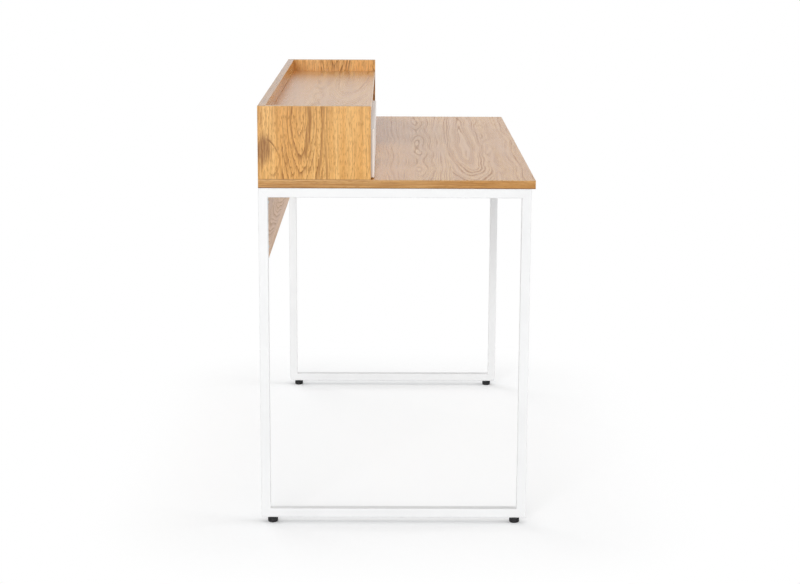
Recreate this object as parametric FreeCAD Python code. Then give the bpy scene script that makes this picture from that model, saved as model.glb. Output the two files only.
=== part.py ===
import FreeCAD, Part
import math
import os
from FreeCAD import Vector

# Writing desk with a storage hutch along its back edge, sizes in millimetres.
# X runs along the desk, -Y is the side where a person sits, and Z is up.
# The origin is on the floor under the middle of the desk top.
# Left and right are as the person at the desk sees them, so left is -X.

# Desk
DESK_LENGTH = 1200.0
DESK_DEPTH = 580.0
DESK_HEIGHT = 750.0
TOP_THICKNESS = 18.0
BOARD = 16.0
ARRIS = 1.0
OVERCUT = 1.0

# Steel loop frames
TUBE = 20.0
TUBE_WALL = 1.5
TUBE_RADIUS = 2.0
FRAME_END_INSET = 2.0
FRAME_FRONT_INSET = 8.0

# Levelling feet
FOOT_HEIGHT = 12.0
FOOT_RADIUS = 11.0
FOOT_SOLE_RADIUS = 8.5
FOOT_RIM = 9.0
FOOT_INSET = 24.0
STUD_RADIUS = 3.0
STUD_LENGTH = 16.0
STUD_CHAMFER = 1.0
NUT_SIDE = 10.0
NUT_HEIGHT = 5.0

# Modesty panel and the welded tabs that carry it
MODESTY_HEIGHT = 165.0
MODESTY_END_GAP = 1.0
TAB_THICKNESS = 2.0
TAB_LENGTH = 28.0
TAB_HEIGHT = 30.0
TAB_ROUND = 6.0
TAB_DROPS = (35.0, 130.0)

# Hutch
HUTCH_HEIGHT = 154.0
HUTCH_DEPTH = 235.5
GALLERY_HEIGHT = 30.0
SHELF_SETBACK = 1.5

# Drawer
FRONT_PROUD = 7.0
FRONT_SIDE_GAP = 2.0
FRONT_GAP = 3.0
DRAWER_BOARD = 12.0
DRAWER_LENGTH = 200.0
DRAWER_SIDE_HEIGHT = 80.0
DRAWER_SIDE_LIFT = 12.0
BOTTOM_THICKNESS = 3.0
BOTTOM_LIFT = 8.0
GROOVE_DEPTH = 5.0
NOTCH_WIDTH = 90.0
NOTCH_DEPTH = 13.0
NOTCH_ROUND = 6.0

# Ball-bearing drawer runners: u is measured from the carcass towards the drawer,
# and v up from the middle of the runner.
DRAWER_TRAVEL = 130.0
RUNNER_SPACE = 12.7
RUNNER_LENGTH = 199.5
RUNNER_FRONT_GAP = 0.5
RUNNER_HEIGHT = 35.0
RUNNER_SHEET = 1.2
RUNNER_BEND = 1.6
OUTER_REACH = 9.5
OUTER_LIP = 3.2
INNER_HEIGHT = 24.2
INNER_REACH = 9.2
BALL_RADIUS = 2.0
BALL_PITCH = 13.0
BALLS_PER_ROW = 5
BALL_U = 5.4
CAGE_SHEET = 0.7
CAGE_U = 2.2
CAGE_REACH = 5.8
CAGE_PLAY = 0.6
STOP_WIDTH = 4.0
STOP_OVERLAP = 1.0

# Fasteners
DRILL_PLAY = 0.1
SCREW_TIP = 1.2
PAN_CROWN = 0.55
PAN_SHOULDER = 0.4
DOWEL_RADIUS = 4.0
DOWEL_CHAMFER = 1.0
DOWEL_IN_FACE = 10.0
DOWEL_IN_EDGE = 20.0
CAM_RADIUS = 7.5
CAM_DEPTH = 12.5
CAM_REACH = 24.0
CAM_BOLT_RADIUS = 3.0
CAM_BOLT_NECK = 0.6
CAM_BOLT_STEP = 1.0
CAM_THROAT_PLAY = 0.6
CAM_THROAT_REACH = 4.0
CAM_SLOT_SHARE = 1.4
CAM_SLOT_WIDTH = 1.2
CAM_SLOT_DEPTH = 1.6
TOP_SCREW_HEAD = (4.2, 2.8)
TOP_SCREW_RADIUS = 2.25
TOP_SCREW_GRIP = 13.0
TOP_SCREW_PLACES = (-200.0, -20.0, 160.0)
FRAME_HOLE_PLAY = 0.3
ACCESS_PLAY = 0.8
MODESTY_SCREW_HEAD = (3.6, 2.4)
MODESTY_SCREW_RADIUS = 2.0
MODESTY_SCREW_LENGTH = 14.0
HUTCH_SCREW_HEAD = 4.8
HUTCH_SCREW_RADIUS = 2.5
HUTCH_SCREW_LENGTH = 45.0
DRAWER_DOWEL_RADIUS = 3.0
DRAWER_DOWEL_LENGTH = 25.0
DRAWER_CAM_RADIUS = 6.0
DRAWER_CAM_DEPTH = 9.0
DRAWER_BOLT_HEAD = 2.3
DRAWER_THROAT_PLAY = 0.4
DRAWER_SCREW_HEAD = 3.5
DRAWER_SCREW_RADIUS = 1.75
DRAWER_SCREW_LENGTH = 38.0
PIN_SCREW_HEAD = (2.8, 1.6)
PIN_SCREW_RADIUS = 1.4
PIN_SCREW_LENGTH = 16.0
RUNNER_SCREW_RADIUS = 1.75
RUNNER_SCREW_HEAD = 3.2
RUNNER_SCREW_LENGTH = 11.0
OUTER_HEAD_HEIGHT = 0.7
INNER_HEAD_HEIGHT = 1.6

# Where the fasteners go
HUTCH_SCREW_YS = (105.0, 215.0)
HUTCH_BACK_SCREW_XS = (-380.0, 0.0, 380.0)
SHELF_DOWEL_Y = 165.0
SHELF_CAM_YS = (90.0, 240.0)
SHELF_BACK_DOWEL_X = 300.0
DIVIDER_DOWEL_YS = (105.0, 225.0)
DIVIDER_DOWEL_LENGTH = 25.0
BACK_DOWEL_LIFTS = (35.0, 94.0)
DRAWER_CAM_DROP = 22.0
DRAWER_DOWEL_LIFT = 22.0
DRAWER_BACK_SCREW_LIFTS = (20.0, 66.0)
BOTTOM_SCREW_SHARES = (0.15, 0.5, 0.85)
OUTER_SCREW_SHARES = (0.12, 0.88)
INNER_SCREW_SHARES = (0.2, 0.8)

# Places that follow from the driving dimensions
HALF_LENGTH = DESK_LENGTH / 2
FRONT = -DESK_DEPTH / 2
BACK = DESK_DEPTH / 2
TOP_UNDERSIDE = DESK_HEIGHT - TOP_THICKNESS
FRAME_FRONT = FRONT + FRAME_FRONT_INSET
FRAME_X = HALF_LENGTH - FRAME_END_INSET - TUBE / 2
FRAME_INNER_X = FRAME_X - TUBE / 2
TOP_SCREW_LENGTH = TUBE_WALL + TOP_SCREW_GRIP
FOOT_PLACES = {"front": FRAME_FRONT + FOOT_INSET, "rear": BACK - FOOT_INSET}
HUTCH_TOP = DESK_HEIGHT + HUTCH_HEIGHT
HUTCH_FRONT = BACK - HUTCH_DEPTH
BAY_END = HALF_LENGTH - BOARD
BACK_FACE = BACK - BOARD
SHELF_FRONT = HUTCH_FRONT + SHELF_SETBACK
SHELF_TOP = HUTCH_TOP - GALLERY_HEIGHT
SHELF_UNDERSIDE = SHELF_TOP - BOARD
BAY_LEFT = -BAY_END
BAY_RIGHT = -BOARD / 2
BAY_MIDDLE = (BAY_LEFT + BAY_RIGHT) / 2
FRONT_FACE = HUTCH_FRONT - FRONT_PROUD
FRONT_REAR = FRONT_FACE + BOARD
FRONT_BOTTOM = DESK_HEIGHT + FRONT_GAP
FRONT_TOP = SHELF_UNDERSIDE - FRONT_GAP
BOX_LEFT = BAY_LEFT + RUNNER_SPACE
BOX_RIGHT = BAY_RIGHT - RUNNER_SPACE
BOX_REAR = FRONT_REAR + DRAWER_LENGTH
BOX_BOTTOM = DESK_HEIGHT + DRAWER_SIDE_LIFT
BOX_TOP = BOX_BOTTOM + DRAWER_SIDE_HEIGHT
PANEL_Z = BOX_BOTTOM + BOTTOM_LIFT
RUNNER_Z = (BOX_BOTTOM + BOX_TOP) / 2
RUNNER_Y = FRONT_REAR + RUNNER_FRONT_GAP
BALL_V = (RUNNER_HEIGHT / 2 - RUNNER_SHEET + INNER_HEIGHT / 2) / 2

SIDES = {"left": -1, "right": 1}
RUNNER_BAYS = {"left": (BAY_LEFT, 1), "right": (BAY_RIGHT, -1)}

nodes = {}


def span(x0, x1, y0, y1, z0, z1):
    """A box between two corners."""
    return Part.makeBox(x1 - x0, y1 - y0, z1 - z0, Vector(x0, y0, z0))


def board(x0, x1, y0, y1, z0, z1, arris=ARRIS):
    """A panel with its edges eased by a small round."""
    panel = span(x0, x1, y0, y1, z0, z1)
    return panel.makeFillet(arris, panel.Edges)


def rod(start, along, radius, length):
    """A round bar or drill from a point, along a direction."""
    return Part.makeCylinder(radius, length, start, along)


def turned(profile):
    """A solid of revolution about Z from (radius, height) points."""
    points = [Vector(radius, 0, height) for radius, height in profile]
    face = Part.Face(Part.makePolygon(points + points[:1]))
    return face.revolve(Vector(0, 0, 0), Vector(0, 0, 1), 360)


def seated(shape, seat, turn):
    """A copy of a shape, turned about its origin and set down with that origin at its seat."""
    copy = shape.copy()
    copy.Placement = FreeCAD.Placement(seat, turn)
    return copy


def placed(shape, start, along):
    """A copy of a shape made along +Z, with its origin at a point and its Z along a direction."""
    return seated(shape, start, FreeCAD.Rotation(Vector(0, 0, 1), along))


def group(solids):
    """Several separate solids kept in one node."""
    return Part.makeCompound(solids)


def pan_screw(head_radius, head_height, radius, length):
    """A pan-head screw: the head's seat is at the origin and the shank runs along +Z."""
    crown = PAN_CROWN * head_radius
    shoulder = PAN_SHOULDER * head_height
    tip = SCREW_TIP * radius
    return turned([(0, -head_height), (crown, -head_height), (head_radius, -shoulder),
                   (head_radius, 0), (radius, 0), (radius, length - tip), (0, length)])


def flat_screw(head_radius, radius, length):
    """A countersunk screw: its flat head face is at the origin and it runs along +Z."""
    sink = head_radius - radius
    tip = SCREW_TIP * radius
    return turned([(0, 0), (head_radius, 0), (radius, sink), (radius, length - tip), (0, length)])


def sunk_hole(start, along, head_radius, radius, length):
    """The hole that a countersunk screw leaves, with a little play round it."""
    play = DRILL_PLAY
    sink = head_radius - radius
    hole = turned([(0, -play), (head_radius + play, -play), (head_radius + play, 0),
                   (radius + play, sink), (radius + play, length + play), (0, length + play)])
    return placed(hole, start, along)


# Steel frames

def mitred_tube(length, start, along, inward):
    """Square tube along one side of a loop, mitred at both ends towards the loop's inside."""
    half = TUBE / 2
    bore = TUBE - 2 * TUBE_WALL
    bar = Part.makeBox(TUBE, TUBE, length, Vector(-half, -half, 0))
    corners = [edge for edge in bar.Edges if abs(edge.Length - length) < 0.01]
    bar = bar.makeFillet(TUBE_RADIUS, corners)
    bar = bar.cut(Part.makeBox(bore, bore, length, Vector(-bore / 2, -bore / 2, 0)))
    for end, step in ((0, 1), (length, -1)):
        wedge = Part.makePolygon([Vector(-TUBE, -half, end), Vector(-TUBE, half, end + step * TUBE),
                                  Vector(-TUBE, half, end), Vector(-TUBE, -half, end)])
        bar = bar.cut(Part.Face(wedge).extrude(Vector(2 * TUBE, 0, 0)))
    turn = FreeCAD.Rotation(inward.cross(along), inward, along, "ZYX")
    bar.Placement = FreeCAD.Placement(start, turn)
    return bar


def loop_frame(side, sign):
    """The four tubes of one end frame, with the holes that its feet and screws go through."""
    x = sign * FRAME_X
    low = FOOT_HEIGHT + TUBE / 2
    high = TOP_UNDERSIDE - TUBE / 2
    depth = BACK - FRAME_FRONT
    height = TOP_UNDERSIDE - FOOT_HEIGHT
    up = Vector(0, 0, 1)
    back = Vector(0, 1, 0)
    nodes[side + "_front_leg"] = mitred_tube(
        height, Vector(x, FRAME_FRONT + TUBE / 2, FOOT_HEIGHT), up, back)
    nodes[side + "_rear_leg"] = mitred_tube(
        height, Vector(x, BACK - TUBE / 2, FOOT_HEIGHT), up, -back)
    bottom_rail = mitred_tube(depth, Vector(x, FRAME_FRONT, low), back, up)
    for y in FOOT_PLACES.values():
        drill = rod(Vector(x, y, low - TUBE), up, STUD_RADIUS + FRAME_HOLE_PLAY, TUBE)
        bottom_rail = bottom_rail.cut(drill)
    nodes[side + "_bottom_rail"] = bottom_rail
    top_rail = mitred_tube(depth, Vector(x, FRAME_FRONT, high), back, -up)
    for y in TOP_SCREW_PLACES:
        drill = rod(Vector(x, y, high), up, TOP_SCREW_RADIUS + FRAME_HOLE_PLAY, TUBE)
        access = rod(Vector(x, y, high - TUBE), up, TOP_SCREW_HEAD[0] + ACCESS_PLAY, TUBE)
        top_rail = top_rail.cut(drill).cut(access)
    nodes[side + "_top_rail"] = top_rail


def feet():
    """Four levelling feet on threaded studs, and the weld nuts in the rails above them."""
    up = Vector(0, 0, 1)
    inset = FOOT_RADIUS - FOOT_SOLE_RADIUS
    rim_z = FOOT_HEIGHT - FOOT_RIM
    curve = (inset ** 2 + rim_z ** 2) / (2 * inset)
    half_turn = math.asin(rim_z / curve) / 2
    middle_radius = FOOT_RADIUS - curve * (1 - math.cos(half_turn))
    middle = Vector(middle_radius, 0, rim_z - curve * math.sin(half_turn))
    outline = Part.Wire([
        Part.makeLine(Vector(0, 0, 0), Vector(FOOT_SOLE_RADIUS, 0, 0)),
        Part.Arc(Vector(FOOT_SOLE_RADIUS, 0, 0), middle, Vector(FOOT_RADIUS, 0, rim_z)).toShape(),
        Part.makeLine(Vector(FOOT_RADIUS, 0, rim_z), Vector(FOOT_RADIUS, 0, FOOT_HEIGHT)),
        Part.makeLine(Vector(FOOT_RADIUS, 0, FOOT_HEIGHT), Vector(0, 0, FOOT_HEIGHT)),
        Part.makeLine(Vector(0, 0, FOOT_HEIGHT), Vector(0, 0, 0))])
    base = Part.Face(outline).revolve(Vector(0, 0, 0), up, 360)
    stud = turned([(0, 0), (STUD_RADIUS, 0), (STUD_RADIUS, STUD_LENGTH - STUD_CHAMFER),
                   (STUD_RADIUS - STUD_CHAMFER, STUD_LENGTH), (0, STUD_LENGTH)])
    nuts = []
    for side, sign in SIDES.items():
        for place, y in FOOT_PLACES.items():
            x = sign * FRAME_X
            nodes["foot_base_%s_%s" % (place, side)] = placed(base, Vector(x, y, 0), up)
            nodes["foot_stud_%s_%s" % (place, side)] = placed(stud, Vector(x, y, FOOT_HEIGHT), up)
            seat = FOOT_HEIGHT + TUBE_WALL
            nut = span(x - NUT_SIDE / 2, x + NUT_SIDE / 2, y - NUT_SIDE / 2, y + NUT_SIDE / 2,
                       seat, seat + NUT_HEIGHT)
            nuts.append(nut.cut(rod(Vector(x, y, FOOT_HEIGHT), up, STUD_RADIUS + DRILL_PLAY, TUBE)))
    nodes["foot_nuts"] = group(nuts)


# Desk top and modesty panel

def desk_top():
    """The top board, and the screws that hold it from inside the rails."""
    up = Vector(0, 0, 1)
    top = board(-HALF_LENGTH, HALF_LENGTH, FRONT, BACK, TOP_UNDERSIDE, DESK_HEIGHT)
    seat_z = TOP_UNDERSIDE - TUBE_WALL
    screw = pan_screw(*TOP_SCREW_HEAD, TOP_SCREW_RADIUS, TOP_SCREW_LENGTH)
    screws = []
    for sign in SIDES.values():
        for y in TOP_SCREW_PLACES:
            start = Vector(sign * FRAME_X, y, seat_z)
            screws.append(placed(screw, start, up))
            top = top.cut(rod(start, up, TOP_SCREW_RADIUS + DRILL_PLAY, TOP_SCREW_LENGTH + DRILL_PLAY))
    nodes["top_screws"] = group(screws)
    for start in hutch_screw_places():
        top = top.cut(hutch_screw_hole(start))
    nodes["desk_top"] = top


def modesty_panel():
    """The panel under the back edge, screwed to tabs that are welded to the rear legs."""
    back = Vector(0, 1, 0)
    end = FRAME_INNER_X - MODESTY_END_GAP
    panel = board(-end, end, BACK_FACE, BACK, TOP_UNDERSIDE - MODESTY_HEIGHT, TOP_UNDERSIDE)
    screw = pan_screw(*MODESTY_SCREW_HEAD, MODESTY_SCREW_RADIUS, MODESTY_SCREW_LENGTH)
    tabs = []
    screws = []
    for sign in SIDES.values():
        outer = sign * FRAME_INNER_X
        inner = sign * (FRAME_INNER_X - TAB_LENGTH)
        for drop in TAB_DROPS:
            z = TOP_UNDERSIDE - drop
            tab = span(min(inner, outer), max(inner, outer), BACK_FACE - TAB_THICKNESS, BACK_FACE,
                       z - TAB_HEIGHT / 2, z + TAB_HEIGHT / 2)
            rounded = [edge for edge in tab.Edges
                       if abs(edge.Length - TAB_THICKNESS) < 0.01
                       and abs(edge.CenterOfMass.x - inner) < 0.01]
            tab = tab.makeFillet(TAB_ROUND, rounded)
            start = Vector((inner + outer) / 2, BACK_FACE - TAB_THICKNESS, z)
            drill = rod(start, back, MODESTY_SCREW_RADIUS + DRILL_PLAY,
                        MODESTY_SCREW_LENGTH + DRILL_PLAY)
            tabs.append(tab.cut(drill))
            panel = panel.cut(drill)
            screws.append(placed(screw, start, back))
    nodes["modesty_panel"] = panel
    nodes["panel_tabs"] = group(tabs)
    nodes["modesty_screws"] = group(screws)


# Hutch

def hutch_screw_places():
    """Where the screws under the desk top start: two a side, two in the divider, three at the back."""
    side_x = HALF_LENGTH - BOARD / 2
    back_y = BACK - BOARD / 2
    places = [(x, y) for x in (-side_x, 0, side_x) for y in HUTCH_SCREW_YS]
    places += [(x, back_y) for x in HUTCH_BACK_SCREW_XS]
    return [Vector(x, y, TOP_UNDERSIDE) for x, y in places]


def hutch_screw_hole(start):
    return sunk_hole(start, Vector(0, 0, 1), HUTCH_SCREW_HEAD, HUTCH_SCREW_RADIUS, HUTCH_SCREW_LENGTH)


def dowel(start, along, length):
    """A wooden dowel with chamfered ends."""
    chamfer = DOWEL_CHAMFER
    pin = turned([(0, 0), (DOWEL_RADIUS - chamfer, 0), (DOWEL_RADIUS, chamfer),
                  (DOWEL_RADIUS, length - chamfer), (DOWEL_RADIUS - chamfer, length), (0, length)])
    return placed(pin, start, along)


def dowel_hole(start, along, length):
    """The hole for a dowel, in both boards at once."""
    return rod(start - along * DRILL_PLAY, along, DOWEL_RADIUS + DRILL_PLAY, length + 2 * DRILL_PLAY)


def cam_bolt(reach, head_radius):
    """A cam bolt along +Z: threaded into a face below the origin, and headed where the cam grips it."""
    step = CAM_BOLT_STEP
    neck = CAM_BOLT_NECK * head_radius
    return turned([(0, -DOWEL_IN_FACE), (CAM_BOLT_RADIUS, -DOWEL_IN_FACE), (CAM_BOLT_RADIUS, 0),
                   (neck + step, 0), (neck + step, reach - 6 * step), (neck, reach - 5 * step),
                   (neck, reach - 2 * step), (head_radius, reach - step), (head_radius, reach + step),
                   (0, reach + step)])


def cam(radius, depth, axis_depth, throat):
    """A cam lock along +Z from its open face, with the throat that the bolt's head goes in by."""
    body = Part.makeCylinder(radius, depth)
    mouth = radius + OVERCUT
    body = body.cut(rod(Vector(-mouth, 0, axis_depth), Vector(1, 0, 0), throat, mouth + CAM_THROAT_REACH))
    half_slot = CAM_SLOT_SHARE * radius / 2
    half_width = CAM_SLOT_WIDTH / 2
    return body.cut(span(-half_slot, half_slot, -half_width, half_width, 0, CAM_SLOT_DEPTH))


def hutch():
    """Two sides, a back and a shelf between them, and a divider that makes two bays."""
    right = Vector(1, 0, 0)
    back = Vector(0, 1, 0)
    up = Vector(0, 0, 1)
    boards = {
        "hutch_left_side": board(-HALF_LENGTH, -BAY_END, HUTCH_FRONT, BACK, DESK_HEIGHT, HUTCH_TOP),
        "hutch_right_side": board(BAY_END, HALF_LENGTH, HUTCH_FRONT, BACK, DESK_HEIGHT, HUTCH_TOP),
        "hutch_back": board(-BAY_END, BAY_END, BACK_FACE, BACK, DESK_HEIGHT, HUTCH_TOP),
        "hutch_shelf": board(-BAY_END, BAY_END, SHELF_FRONT, BACK_FACE, SHELF_UNDERSIDE, SHELF_TOP),
        "hutch_divider": board(-BOARD / 2, BOARD / 2, SHELF_FRONT, BACK_FACE,
                               DESK_HEIGHT, SHELF_UNDERSIDE),
    }
    shelf_z = SHELF_TOP - BOARD / 2
    back_y = BACK - BOARD / 2
    dowel_length = DOWEL_IN_FACE + DOWEL_IN_EDGE
    dowels = []
    holes = []

    def pin(start, along, length):
        dowels.append(dowel(start, along, length))
        holes.append(dowel_hole(start, along, length))

    for sign in SIDES.values():
        inward = right * -sign
        face_x = sign * (BAY_END + DOWEL_IN_FACE)
        pin(Vector(face_x, SHELF_DOWEL_Y, shelf_z), inward, dowel_length)
        for lift in BACK_DOWEL_LIFTS:
            pin(Vector(face_x, back_y, DESK_HEIGHT + lift), inward, dowel_length)
        pin(Vector(sign * SHELF_BACK_DOWEL_X, BACK_FACE + DOWEL_IN_FACE, shelf_z), -back, dowel_length)
    for y in DIVIDER_DOWEL_YS:
        pin(Vector(0, y, SHELF_UNDERSIDE + DOWEL_IN_FACE), -up, DIVIDER_DOWEL_LENGTH)

    bolts = []
    cams = []
    bolt = cam_bolt(CAM_REACH, CAM_BOLT_RADIUS)
    lock = cam(CAM_RADIUS, CAM_DEPTH, BOARD / 2, CAM_BOLT_RADIUS + CAM_THROAT_PLAY)
    for sign in SIDES.values():
        inward = right * -sign
        for y in SHELF_CAM_YS:
            face = Vector(sign * BAY_END, y, shelf_z)
            bolts.append(placed(bolt, face, inward))
            seat = Vector(sign * (BAY_END - CAM_REACH), y, SHELF_UNDERSIDE)
            cams.append(seated(lock, seat, FreeCAD.Rotation(up, 0 if sign < 0 else 180)))
            holes.append(rod(face - inward * (DOWEL_IN_FACE + DRILL_PLAY), inward,
                             CAM_BOLT_RADIUS + DRILL_PLAY, DOWEL_IN_FACE + CAM_REACH))
            holes.append(rod(seat - up * OVERCUT, up, CAM_RADIUS + DRILL_PLAY,
                             CAM_DEPTH + OVERCUT + DRILL_PLAY))

    screw = flat_screw(HUTCH_SCREW_HEAD, HUTCH_SCREW_RADIUS, HUTCH_SCREW_LENGTH)
    nodes["hutch_screws"] = group([placed(screw, start, up) for start in hutch_screw_places()])
    holes += [hutch_screw_hole(start) for start in hutch_screw_places()]
    holes += [runner_screw_hole(screw_place) for screw_place in outer_screw_places()]
    for name, panel in boards.items():
        for hole in holes:
            if panel.BoundBox.intersect(hole.BoundBox):
                panel = panel.cut(hole)
        nodes[name] = panel
    nodes["hutch_dowels"] = group(dowels)
    nodes["hutch_cam_bolts"] = group(bolts)
    nodes["hutch_cam_locks"] = group(cams)


# Drawer

def finger_notch():
    """A scoop in the lower edge of the drawer front: a circular segment, cut through the board."""
    half = NOTCH_WIDTH / 2
    y = FRONT_FACE - OVERCUT
    left = Vector(BAY_MIDDLE - half, y, FRONT_BOTTOM)
    right = Vector(BAY_MIDDLE + half, y, FRONT_BOTTOM)
    highest = Vector(BAY_MIDDLE, y, FRONT_BOTTOM + NOTCH_DEPTH)
    below = Vector(0, 0, -OVERCUT)
    outline = Part.Wire([
        Part.Arc(left, highest, right).toShape(),
        Part.makeLine(right, right + below),
        Part.makeLine(right + below, left + below),
        Part.makeLine(left + below, left)])
    return Part.Face(outline).extrude(Vector(0, BOARD + 2 * OVERCUT, 0))


def drawer_front():
    """The white front, notched for a finger, with its rear groove for the drawer bottom."""
    front = span(BAY_LEFT + FRONT_SIDE_GAP, BAY_RIGHT - FRONT_SIDE_GAP, FRONT_FACE, FRONT_REAR,
                 FRONT_BOTTOM, FRONT_TOP)
    front = front.cut(finger_notch())
    half = NOTCH_WIDTH / 2
    lips = [edge for edge in front.Edges
            if abs(edge.Length - BOARD) < 0.01
            and abs(abs(edge.CenterOfMass.x - BAY_MIDDLE) - half) < 0.01]
    front = front.makeFillet(NOTCH_ROUND, lips)
    rims = [edge for edge in front.Edges
            if min(abs(edge.CenterOfMass.y - face) for face in (FRONT_FACE, FRONT_REAR)) < 0.01]
    front = front.makeFillet(ARRIS, rims)
    groove = span(BOX_LEFT + DRAWER_BOARD - GROOVE_DEPTH - DRILL_PLAY,
                  BOX_RIGHT - DRAWER_BOARD + GROOVE_DEPTH + DRILL_PLAY,
                  FRONT_REAR - GROOVE_DEPTH - DRILL_PLAY, FRONT_REAR + OVERCUT,
                  PANEL_Z, PANEL_Z + BOTTOM_THICKNESS)
    return front.cut(groove)


def drawer():
    """The drawer box behind the front: sides, back and a bottom that slides into grooves."""
    right = Vector(1, 0, 0)
    back = Vector(0, 1, 0)
    up = Vector(0, 0, 1)
    inner_left = BOX_LEFT + DRAWER_BOARD
    inner_right = BOX_RIGHT - DRAWER_BOARD
    ease = ARRIS / 2
    boards = {
        "drawer_front": drawer_front(),
        "drawer_left_side": board(BOX_LEFT, inner_left, FRONT_REAR, BOX_REAR,
                                  BOX_BOTTOM, BOX_TOP, ease),
        "drawer_right_side": board(inner_right, BOX_RIGHT, FRONT_REAR, BOX_REAR,
                                   BOX_BOTTOM, BOX_TOP, ease),
        "drawer_back": board(inner_left, inner_right, BOX_REAR - DRAWER_BOARD, BOX_REAR,
                             PANEL_Z + BOTTOM_THICKNESS, BOX_TOP, ease),
    }
    groove = span(inner_left - GROOVE_DEPTH - DRILL_PLAY, inner_right + GROOVE_DEPTH + DRILL_PLAY,
                  FRONT_REAR - OVERCUT, BOX_REAR + OVERCUT, PANEL_Z, PANEL_Z + BOTTOM_THICKNESS)
    for name in ("drawer_left_side", "drawer_right_side"):
        boards[name] = boards[name].cut(groove)
    bottom = span(inner_left - GROOVE_DEPTH, inner_right + GROOVE_DEPTH,
                  FRONT_REAR - GROOVE_DEPTH, BOX_REAR, PANEL_Z, PANEL_Z + BOTTOM_THICKNESS)

    bolts = []
    cams = []
    dowels = []
    back_screws = []
    holes = [runner_screw_hole(place) for place in inner_screw_places()]
    bolt = cam_bolt(CAM_REACH, DRAWER_BOLT_HEAD)
    throat = DRAWER_BOLT_HEAD + DRAWER_THROAT_PLAY
    lock = cam(DRAWER_CAM_RADIUS, DRAWER_CAM_DEPTH, DRAWER_BOARD / 2, throat)
    pin = turned([(0, 0), (DRAWER_DOWEL_RADIUS, 0), (DRAWER_DOWEL_RADIUS, DRAWER_DOWEL_LENGTH),
                  (0, DRAWER_DOWEL_LENGTH)])
    screw = flat_screw(DRAWER_SCREW_HEAD, DRAWER_SCREW_RADIUS, DRAWER_SCREW_LENGTH)
    cam_z = BOX_TOP - DRAWER_CAM_DROP
    dowel_z = BOX_BOTTOM + DRAWER_DOWEL_LIFT
    for sign, outer, inner in ((1, BOX_LEFT, inner_left), (-1, BOX_RIGHT, inner_right)):
        x = (outer + inner) / 2
        face = Vector(x, FRONT_REAR, cam_z)
        bolts.append(placed(bolt, face, back))
        holes.append(rod(face - back * (DOWEL_IN_FACE + DRILL_PLAY), back, CAM_BOLT_RADIUS + DRILL_PLAY,
                         DOWEL_IN_FACE + DRILL_PLAY))
        holes.append(rod(face, back, throat, CAM_REACH))
        seat = Vector(inner, FRONT_REAR + CAM_REACH, cam_z)
        turn = FreeCAD.Rotation(back, right.cross(back) * sign, right * -sign, "ZXY")
        cams.append(seated(lock, seat, turn))
        holes.append(rod(seat + right * sign * OVERCUT, right * -sign, DRAWER_CAM_RADIUS + DRILL_PLAY,
                         DRAWER_CAM_DEPTH + OVERCUT + DRILL_PLAY))
        start = Vector(x, FRONT_REAR - DOWEL_IN_FACE, dowel_z)
        dowels.append(placed(pin, start, back))
        holes.append(rod(start - back * DRILL_PLAY, back, DRAWER_DOWEL_RADIUS + DRILL_PLAY,
                         DRAWER_DOWEL_LENGTH + 2 * DRILL_PLAY))
        for lift in DRAWER_BACK_SCREW_LIFTS:
            start = Vector(outer, BOX_REAR - DRAWER_BOARD / 2, BOX_BOTTOM + lift)
            back_screws.append(placed(screw, start, right * sign))
            holes.append(sunk_hole(start, right * sign, DRAWER_SCREW_HEAD, DRAWER_SCREW_RADIUS,
                                   DRAWER_SCREW_LENGTH))
    for name, panel in boards.items():
        for hole in holes:
            if panel.BoundBox.intersect(hole.BoundBox):
                panel = panel.cut(hole)
        boards[name] = panel

    pin_screw = pan_screw(*PIN_SCREW_HEAD, PIN_SCREW_RADIUS, PIN_SCREW_LENGTH)
    bottom_screws = []
    for share in BOTTOM_SCREW_SHARES:
        x = inner_left + share * (inner_right - inner_left)
        start = Vector(x, BOX_REAR - DRAWER_BOARD / 2, PANEL_Z)
        drill = rod(start, up, PIN_SCREW_RADIUS + DRILL_PLAY, PIN_SCREW_LENGTH + DRILL_PLAY)
        bottom_screws.append(placed(pin_screw, start, up))
        bottom = bottom.cut(drill)
        boards["drawer_back"] = boards["drawer_back"].cut(drill)
    nodes.update(boards)
    nodes["drawer_bottom"] = bottom
    nodes["drawer_cam_bolts"] = group(bolts)
    nodes["drawer_cam_locks"] = group(cams)
    nodes["drawer_dowels"] = group(dowels)
    nodes["drawer_back_screws"] = group(back_screws)
    nodes["drawer_bottom_screws"] = group(bottom_screws)


# Runners

def at_runner(side, u, y, v):
    """The point at (u, v) in a runner's section, y from the runner's front end."""
    carcass, sign = RUNNER_BAYS[side]
    return Vector(carcass + sign * u, RUNNER_Y + y, RUNNER_Z + v)


def runner_bar(side, section, y0, y1):
    """A bar of a runner: a face drawn in (u, v), carried along the runner from y0 to y1."""
    carcass, sign = RUNNER_BAYS[side]
    bar = section.extrude(Vector(0, y1 - y0, 0))
    if sign < 0:
        bar = bar.mirror(Vector(0, 0, 0), Vector(1, 0, 0))
    bar.translate(Vector(carcass, RUNNER_Y + y0, RUNNER_Z))
    return bar


def channel(u0, u1, half_height, sheet, bend):
    """The section of a channel of bent sheet, with its web at u0 and its open side at u1."""
    sign = 1 if u1 > u0 else -1
    outside = span(min(u0, u1), max(u0, u1), 0, 1, -half_height, half_height)
    web_edges = [edge for edge in outside.Edges
                 if abs(edge.Length - 1) < 0.01 and abs(edge.CenterOfMass.x - u0) < 0.01]
    outside = outside.makeFillet(bend, web_edges)
    web = u0 + sign * sheet
    mouth = u1 + sign
    half = half_height - sheet
    inside = span(min(web, mouth), max(web, mouth), -1, 2, -half, half)
    web_edges = [edge for edge in inside.Edges
                 if abs(edge.Length - 3) < 0.01 and abs(edge.CenterOfMass.x - web) < 0.01]
    inside = inside.makeFillet(bend - sheet, web_edges)
    return front_face(outside.cut(inside))


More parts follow.
